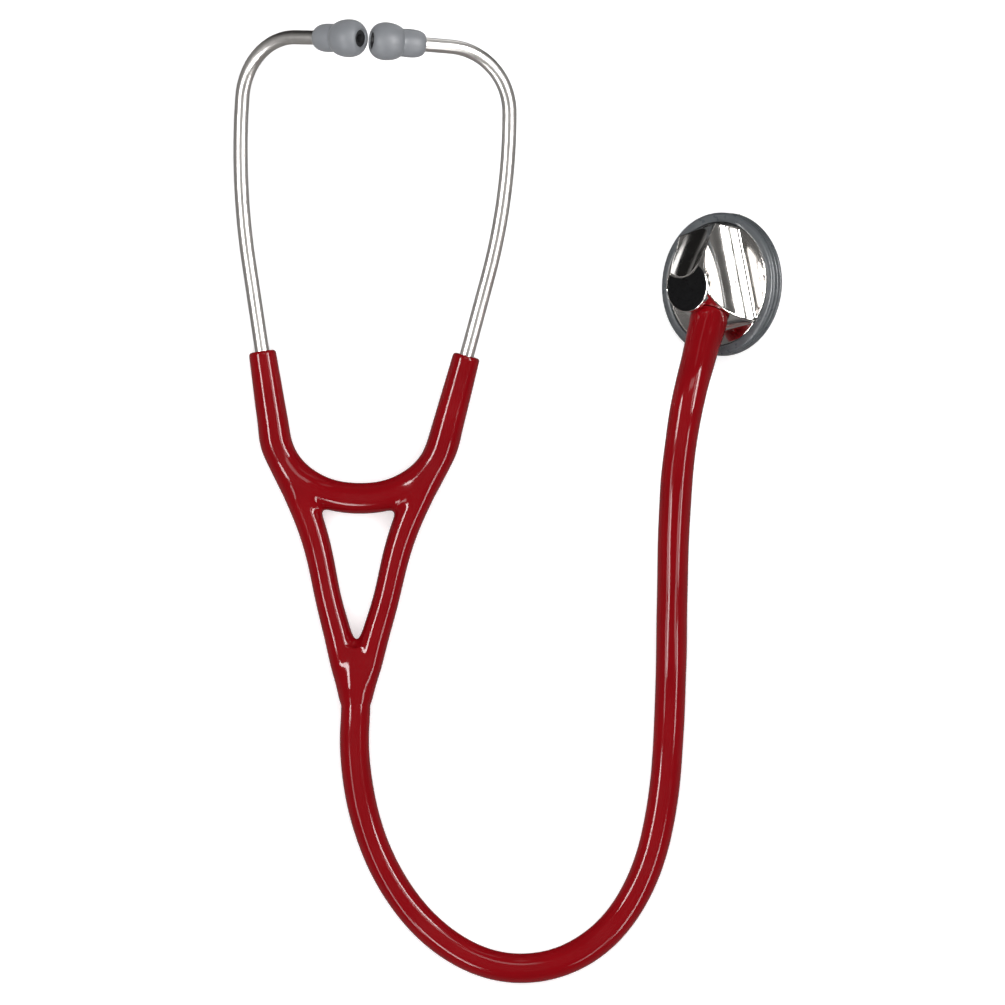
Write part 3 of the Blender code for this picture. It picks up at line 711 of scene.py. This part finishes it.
def turned_shape(name, profile, angles, transform, push=None):
    """A closed profile of (radius, height) turned about Z; push grows the radius at an angle."""
    if isinstance(angles, int):
        angles = np.linspace(0.0, math.tau, angles, endpoint=False)
    ring = np.array(profile, float)
    count, sides = len(ring), len(angles)
    grow = push if push is not None else np.zeros((count, sides))
    radius = ring[:, :1] + grow
    points = np.stack([radius * np.cos(angles), radius * np.sin(angles),
                       np.repeat(ring[:, 1:], sides, axis=1)], axis=-1)
    points, faces = skin(points[::-1], True)
    piece = new_piece(name, points, faces, transform)
    piece.data.set_sharp_from_angle(angle=math.radians(40.0))
    return piece


def rounded(profile, spacing):
    """A closer-spaced smooth curve through a profile's points."""
    curve = smooth_path([(r, z, 0.0) for r, z in profile], spacing)
    return [(r, z) for r, z, _ in curve]


def make_ear_side(label, steel, grey, black):
    side = SIDES[label]
    twist = arm_frame(side) @ turned((side * EARTUBE_FORWARD, "Y"))
    path, direction = eartube_path(side, 1.0)
    tip_at = Vector(path[-1]) + direction * EARTUBE_END
    for share in np.linspace(0.15, 1.0, 8):
        path.append(tuple(Vector(path[-1]).lerp(tip_at + direction * EARTUBE_IN_TIP, share)))
    path = np.array(path)
    path = path[np.concatenate([[True], np.linalg.norm(np.diff(path, axis=0), axis=1) > 0.05])]
    tube = swept_tube(f"eartube_skin_{label}", path, EARTUBE_R, EARTUBE_BORE_R, TUBE_SIDES, twist)
    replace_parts(wear(tube, steel), f"eartube_{label}")

    seat = tip_at - direction * EARTIP_SET_BACK
    tip_turn = direction.to_track_quat("Z", "Y").to_matrix().to_4x4()
    tip = twist @ Matrix.Translation(seat) @ tip_turn
    outside = rounded(EARTIP_OUTSIDE, TIP_SPACING) + rounded(EARTIP_BALL, TIP_SPACING)
    outline = outside + EARTIP_INSIDE
    eartip = turned_shape(f"eartip_skin_{label}", outline[::-1], TIP_SIDES, tip)
    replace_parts(wear(eartip, grey), f"eartip_{label}")
    core = turned_shape(f"eartip_core_skin_{label}", EARTIP_CORE, TUBE_SIDES, tip)
    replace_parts(wear(core, black), f"eartip_core_{label}")
    for piece in (tube, eartip, core):
        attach(piece, f"{label}_eartube")


# ---------------------------------------------------------------- chestpiece

CHEST_CELL = 0.3
BOSS_H, BOSS_SHIFT_Y, BOSS_TOP_R, BOSS_SLOPE = 18.3, -1.9, 9.2, 1.16
BOSS_LIMIT_R = 21.5
COLLAR_FROM = 16.2
SCOOP_R, SCOOP_X, SCOOP_Z = 14.15, 21.8, 11.6
GROOVE_R, GROOVE_Y, GROOVE_Z = 12.0, 2.4, 34.3
GROOVE_SLOPE = math.radians(43.2)
GROOVE_LINE = (0.0, -math.cos(GROOVE_SLOPE), math.sin(GROOVE_SLOPE))
EDGE = {"boss": 0.3, "scoop": 0.45, "stem face": 0.35, "collar": 0.4, "top": 0.35, "groove": 0.4,
        "bite": 0.05, "pocket": 0.12, "disc": 0.6, "foot": 0.5, "flange": 0.1, "badge": 0.3}
BADGE_POCKET_R, BADGE_POCKET_DEPTH, BADGE_EDGE = 8.8, 0.9, 0.5
BADGE_R, BADGE_T, BADGE_CELL = 8.62, 0.75, 0.16
BADGE_LIFT, BADGE_GAP = 0.02, 0.18
DISC_R, DISC_T, FLANGE_R, FLANGE_Z, FLANGE_HALF_T = 22.05, 4.2, 23.3, -2.3, 0.7


def chest_distance(points):
    """Boss and disc in one steel body, in the chestpiece's frame."""
    x, y, z = points.T
    off_boss = np.hypot(x, y - BOSS_SHIFT_Y)
    slant = math.hypot(1.0, BOSS_SLOPE)
    cone = (off_boss - BOSS_TOP_R - (BOSS_H - z) * BOSS_SLOPE) / slant
    centre = np.hypot(x, y)
    boss = common(cone, centre - BOSS_LIMIT_R, EDGE["boss"])
    for side in (LEFT, RIGHT):
        scoop = round_bar(points, (side * SCOOP_X, 0.0, SCOOP_Z), (0.0, 1.0, 0.0), SCOOP_R)
        boss = without(boss, scoop, EDGE["scoop"])
    level = math.cos(STEM_SLOPE)
    normal = np.array((math.sin(STEM_YAW) * level, -math.cos(STEM_YAW) * level,
                       math.sin(STEM_SLOPE)))
    boss = common(boss, (points - np.array(STEM_FACE)) @ normal, EDGE["stem face"])
    collar = np.maximum(off_boss - BOSS_TOP_R, COLLAR_FROM - z)
    boss = union(boss, collar, EDGE["collar"])
    boss = common(boss, z - BOSS_H, EDGE["top"])
    groove = round_bar(points, (0.0, GROOVE_Y, GROOVE_Z), GROOVE_LINE, GROOVE_R)
    boss = without(boss, groove, EDGE["groove"])
    pocket = np.maximum(off_boss - BADGE_POCKET_R, BOSS_H - BADGE_POCKET_DEPTH - z)
    pocket = without(pocket, groove - BADGE_EDGE, EDGE["bite"])
    boss = without(boss, pocket, EDGE["pocket"])
    disc = common(centre - DISC_R, z, EDGE["disc"])
    flange = np.maximum(centre - FLANGE_R, np.abs(z - FLANGE_Z) - FLANGE_HALF_T)
    body = union(union(boss, disc, EDGE["foot"]), flange, EDGE["flange"])
    return np.maximum(body, -DISC_T - z)


def make_chest_body(steel):
    reach = FLANGE_R + 1.0
    points, faces = surface(chest_distance, (-reach, -reach, -DISC_T - 1.0),
                            (reach, reach, BOSS_H + 1.0), CHEST_CELL)
    body = new_piece("chestpiece_skin", points, faces.tolist(), CHEST)
    body.data.set_sharp_from_angle(angle=math.radians(55.0))
    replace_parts(wear(body, steel), "chestpiece_body")
    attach(body, "tubing")


def badge_distance(points):
    """The badge, with the groove's bite out of it, in the chestpiece's frame."""
    x, y, z = points.T
    top = BOSS_H - BADGE_POCKET_DEPTH + BADGE_LIFT + BADGE_T
    disc = common(np.hypot(x, y - BOSS_SHIFT_Y) - BADGE_R, z - top, EDGE["badge"])
    disc = np.maximum(disc, top - BADGE_T - z)
    groove = round_bar(points, (0.0, GROOVE_Y, GROOVE_Z), GROOVE_LINE,
                       GROOVE_R + BADGE_EDGE + BADGE_GAP)
    return without(disc, groove, EDGE["badge"])


def make_badge(black):
    reach = BADGE_R + 0.6
    points, faces = surface(badge_distance, (-reach, BOSS_SHIFT_Y - reach, BOSS_H - 1.8),
                            (reach, BOSS_SHIFT_Y + reach, BOSS_H + 0.8), BADGE_CELL)
    badge = new_piece("badge_skin", points, faces.tolist(), CHEST)
    badge.data.set_sharp_from_angle(angle=math.radians(50.0))
    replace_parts(wear(badge, black), "badge_disc")
    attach(badge, "tubing")


RIM_OUTLINE = [(22.25, 0.12), (22.6, 0.3), (24.4, 0.28), (25.0, 0.1), (25.4, -0.35), (25.5, -0.9),
               (25.5, -1.5), (25.3, -1.75), (25.12, -1.9), (25.3, -2.05), (25.5, -2.3),
               (25.5, -3.2), (25.3, -3.45), (25.12, -3.6), (25.3, -3.75), (25.5, -4.0),
               (25.5, -4.4), (25.3, -4.8), (24.8, -5.0), (22.0, -5.0), (21.9, -4.9),
               (21.9, -3.3), (23.6, -3.3), (23.6, -1.3), (22.25, -1.3)]
RIM_SEAMS = [math.radians(a) for a in (62.0, -68.0, 178.0)]
SEAM_HEIGHT, SEAM_WIDTH = 0.16, math.radians(0.35)
RIM_STEPS = 200


def make_rim(slate):
    """Soft rim snapped over the disc's flange, with two side grooves and mould seams."""
    angles = list(np.linspace(0.0, math.tau, RIM_STEPS, endpoint=False))
    for seam in RIM_SEAMS:
        angles += [(seam + math.radians(d)) % math.tau for d in (-0.8, -0.4, 0.0, 0.4, 0.8)]
    angles = np.unique(np.round(angles, 6))
    push = np.zeros((len(RIM_OUTLINE), len(angles)))
    for seam in RIM_SEAMS:
        off = np.abs((angles - seam + math.pi) % math.tau - math.pi)
        push[1:17] += SEAM_HEIGHT * np.exp(-(off / SEAM_WIDTH)**2)
    rim = turned_shape("rim_skin", RIM_OUTLINE[::-1], angles, CHEST, push[::-1])
    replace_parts(wear(rim, slate), "rim_ring")
    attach(rim, "tubing")


SURROUND_OUTLINE = [(20.7, -4.55), (21.7, -4.55), (21.75, -4.9), (21.5, -5.0), (20.95, -4.95),
                    (20.7, -4.8)]
DIAPHRAGM_EDGE = [(20.1, -5.2), (20.4, -5.05), (20.45, -4.95), (20.3, -4.9), (0.02, -4.9)]
DIAPHRAGM_Z, DIAPHRAGM_BOW, DIAPHRAGM_BOW_R = -5.4, 0.12, 20.0
FRONT_STEPS = 128


def make_front(slate, grey):
    """Thin surround, and a diaphragm that bows slightly outwards."""
    surround = turned_shape("surround_skin", SURROUND_OUTLINE, FRONT_STEPS, CHEST)
    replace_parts(wear(surround, slate), "diaphragm_surround")
    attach(surround, "tubing")
    face = [(r, DIAPHRAGM_Z + DIAPHRAGM_BOW * (r / DIAPHRAGM_BOW_R)**2)
            for r in (0.02, 3.0, 6.0, 9.0, 12.0, 15.0, 18.0, 19.6)]
    diaphragm = turned_shape("diaphragm_skin", (face + DIAPHRAGM_EDGE)[::-1], FRONT_STEPS, CHEST)
    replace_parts(wear(diaphragm, grey), "diaphragm")
    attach(diaphragm, "diaphragm")


# ---------------------------------------------------------------- stage

def area_light(name, place, target, width, length, power, way=(0.0, 1.0, 0.0)):
    """A soft panel that faces its target, its length as near to a direction as that allows."""
    data = bpy.data.lights.new(name, "AREA")
    data.shape = "RECTANGLE"
    data.size, data.size_y = width, length
    data.energy = power
    facing = (Vector(place) - Vector(target)).normalized()
    long_way = (Vector(way) - facing * facing.dot(Vector(way))).normalized()
    turn = Matrix((long_way.cross(facing), long_way, facing)).transposed()
    light = bpy.data.objects.new(name, data)
    light.matrix_world = Matrix.Translation(place) @ turn.to_4x4()
    light.visible_camera = False
    bpy.context.scene.collection.objects.link(light)
    return light


ROOM_LOW, ROOM_HIGH, CARD_DARKNESS = 0.22, 0.11, 0.94


def make_world():
    """A dim room: dark overhead, paler at the horizon, and a black card low at the back."""
    world = bpy.data.worlds.new("studio")
    world.use_nodes = True
    tree = world.node_tree
    place = tree.nodes.new("ShaderNodeTexCoord")
    split = tree.nodes.new("ShaderNodeSeparateXYZ")
    tree.links.new(place.outputs["Generated"], split.inputs["Vector"])

    def ramp(axis, *limits):
        node = tree.nodes.new("ShaderNodeMapRange")
        for key, value in zip(("From Min", "From Max", "To Min", "To Max"), limits):
            node.inputs[key].default_value = value
        tree.links.new(split.outputs[axis], node.inputs["Value"])
        return node.outputs["Result"]

    def combine(operation, *values):
        node = tree.nodes.new("ShaderNodeMath")
        node.operation = operation
        for socket, value in zip(node.inputs, values):
            if isinstance(value, float):
                socket.default_value = value
            else:
                tree.links.new(value, socket)
        return node.outputs["Value"]

    behind, below = ramp("Y", 0.35, 0.60, 0.0, 1.0), ramp("Z", -0.10, 0.03, 1.0, 0.0)
    card = combine("MULTIPLY", behind, below)
    room = combine("MULTIPLY_ADD", card, -CARD_DARKNESS, 1.0)
    light = combine("MULTIPLY", room, ramp("Z", -0.10, 0.25, ROOM_LOW, ROOM_HIGH))
    tree.links.new(light, tree.nodes["Background"].inputs["Strength"])
    tree.nodes["Background"].inputs["Color"].default_value = (1.0, 0.985, 0.97, 1.0)
    bpy.context.scene.world = world


# The panels that only show as reflections: place, width, length, watts, and the
# direction that the length runs in.
ALONG_X, ALONG_Y = (1.0, 0.0, 0.0), (0.0, 1.0, 0.0)
LEAN_LEFT, LEAN_RIGHT = (-0.3, -0.85, 0.0), (0.3, -0.85, 0.0)
PANELS = {"strip_left": ((-0.93, 0.11, 1.0), 0.22, 0.64, 13.0, ALONG_Y),
          "strip_right": ((0.95, 0.32, 1.0), 0.22, 1.05, 21.0, ALONG_Y),
          "strip_inner": ((0.63, 0.30, 1.08), 0.07, 0.85, 2.2, ALONG_Y),
          "front_left": ((-1.04, -0.84, 1.0), 0.20, 0.90, 4.6, LEAN_LEFT),
          "front_right": ((1.16, -0.84, 1.0), 0.20, 0.90, 9.0, LEAN_RIGHT),
          "low_left": ((-0.68, -1.25, 1.0), 0.22, 0.60, 8.0, LEAN_RIGHT),
          "low_right": ((0.75, -1.30, 1.0), 0.20, 0.50, 2.0, LEAN_LEFT),
          "back_top": ((0.14, 0.50, 1.05), 0.26, 0.46, 1.5, ALONG_X),
          "back_left": ((0.0, 1.5, 0.88), 0.20, 0.55, 0.31, ALONG_Y),
          "back_right": ((0.58, 1.45, 0.62), 0.28, 0.55, 0.44, ALONG_Y)}
FLOOR_CARD_AT = (0.01, 0.28, 0.003)
FLOOR_SIZE = 14.0
FILL_HEIGHT, FILL_SIZE, FILL_POWER = 2.2, 2.6, 72.0


def make_floor():
    """Pale paper, bright enough to read as white, and left out of reflections."""
    bpy.ops.mesh.primitive_plane_add(size=FLOOR_SIZE, location=(0.0, 0.0, 0.0))
    floor = bpy.context.object
    floor.name = "floor"
    paper = Shader("paper", (0.86, 0.86, 0.86), 0.7, Emission_Strength=0.4)
    paper.shader.inputs["Emission Color"].default_value = (1.0, 1.0, 1.0, 1.0)
    paper.mottle(paper.noise(3.0, 3.0), (0.84, 0.84, 0.845))
    paper.relief(paper.noise(900.0, 3.0), 0.01)
    wear(floor, paper.material)
    floor.visible_glossy = False


def make_stage():
    make_floor()
    make_world()
    centre = (VIEW_X, VIEW_Y, 0.0)
    fill = area_light("fill", (0.0, 0.0, FILL_HEIGHT), centre, FILL_SIZE, FILL_SIZE, FILL_POWER)
    fill.visible_glossy = False
    for name, (place, width, length, power, way) in PANELS.items():
        area_light(name, place, centre, width, length, power, way).visible_diffuse = False
    above = (FLOOR_CARD_AT[0], FLOOR_CARD_AT[1], 1.0)
    card = area_light("floor_card", FLOOR_CARD_AT, above, 0.06, 0.24, 0.07)
    card.visible_diffuse = False
    bpy.context.scene.view_settings.view_transform = "Standard"


make_camera()
red = hose_red()
steel = polished_steel()
tube_metal = tube_steel()
spring = spring_steel()
grey = tip_grey()
black = core_black()
slate = rim_slate()
lacquer = badge_black()
laminate = diaphragm_grey()

wear(make_hose(), red)
for part in make_yoke():
    wear(part, red)
for ear in SIDES:
    make_ear_side(ear, tube_metal, grey, black)
make_chest_body(steel)
make_badge(lacquer)
make_rim(slate)
make_front(slate, laminate)
wear(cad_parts["stem"], steel)
for inner in ("binaural_spring", "spring_clip_left", "spring_clip_right"):
    wear(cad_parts[inner], spring)
make_stage()
